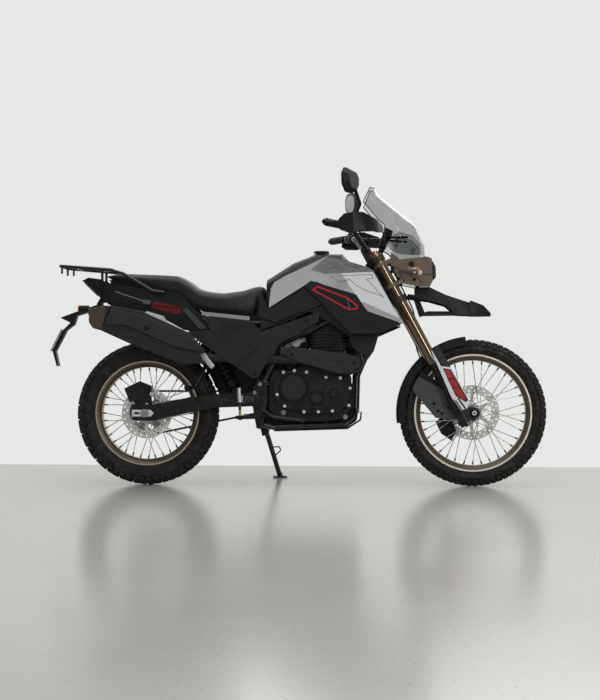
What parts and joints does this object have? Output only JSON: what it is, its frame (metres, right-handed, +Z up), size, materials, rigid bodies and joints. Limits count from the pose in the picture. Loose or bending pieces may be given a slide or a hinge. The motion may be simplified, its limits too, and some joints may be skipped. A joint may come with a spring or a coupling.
{
  "type": "dual sport motorcycle",
  "caption": "Two-wheeled dual sport motorcycle with an open single-cylinder engine, upside-down fork, spoked wheels, small screen, tail rack and a side stand it leans on.",
  "frame": {"origin": "bottom centre of the whole machine's box, on the ground it stands on, at rest on its side stand", "axes": "+X forward, +Y to the machine's left (the side it leans to), +Z up; at rest the machine leans 3.5 degrees to its left"},
  "size_m": [2.1662, 0.9008, 1.3541],
  "materials": {
    "black_frame": "satin",
    "black_plastic": "matt",
    "bronze": "metallic satin",
    "engine": "satin",
    "exhaust": "matt",
    "lamp": "gloss",
    "plate": "matt",
    "rim": "satin",
    "rubber": "matt",
    "screen": "smoke",
    "seat": "matt grained",
    "silver_metal": "satin",
    "silver_paint": "gloss",
    "steel": "brushed",
    "tyre": "matt"
  },
  "bodies": {
    "frame": {"frame": "black_frame", "engine_case": "engine", "cylinder": "engine", "intake": "silver_metal", "exhaust_header": "exhaust", "silencer": "exhaust", "heat_shields": "black_plastic", "swingarm": "black_frame", "rear_axle": "steel", "chain": "steel", "rear_shock": "steel", "rear_caliper": "silver_metal", "fuel_tank": "black_plastic", "fuel_cap": "black_plastic", "tank_shrouds": "silver_paint", "shroud_wings": "black_plastic", "side_panels": "black_plastic", "seat": "seat", "tail_panels": "black_plastic", "tail_light": "lamp", "rack": "black_frame", "plate_holder": "black_plastic", "licence_plate": "plate", "inner_fender": "black_plastic", "footpegs": "black_frame", "pedals": "steel", "bash_plate": "black_plastic"},
    "fork": {"fork_tubes": "bronze", "fork_legs": "black_frame", "fork_guards": "silver_paint", "front_axle": "steel", "fork_clamps": "bronze", "handlebar": "black_frame", "grips": "rubber", "controls": "black_frame", "mirrors": "black_plastic", "hand_guards": "black_plastic", "instrument": "black_plastic", "headlight": "black_plastic", "nacelle": "bronze", "windscreen": "screen", "beak": "black_plastic", "front_fender": "black_plastic", "front_caliper": "silver_metal", "brake_hose": "rubber"},
    "front_wheel": {"front_tyre": "tyre", "front_rim": "rim", "front_hub": "steel", "front_disc": "steel"},
    "rear_wheel": {"rear_tyre": "tyre", "rear_rim": "rim", "rear_hub": "steel", "rear_disc": "steel"},
    "side_stand": {"side_stand": "black_frame"}
  },
  "joints": [
    {"name": "steering", "type": "hinge", "parent": "frame", "child": "fork", "pos_m": [0.37636, -0.02542, 0.8806], "axis": [-0.4772, 0.0537, 0.8772], "range_deg": [-38, 38]},
    {"name": "front_wheel_spin", "type": "hinge", "parent": "fork", "child": "front_wheel", "pos_m": [0.7641, -0.05981, 0.3184], "axis": [0, 0.9981, -0.061], "continuous": true},
    {"name": "rear_wheel_spin", "type": "hinge", "parent": "frame", "child": "rear_wheel", "pos_m": [-0.6559, -0.06017, 0.31242], "axis": [0, 0.9981, -0.061], "continuous": true},
    {"name": "side_stand_fold", "type": "hinge", "parent": "frame", "child": "side_stand", "pos_m": [-0.1479, 0.07187, 0.2272], "axis": [0.1653, 0.8357, 0.5237], "range_deg": [0, 98]}
  ]
}
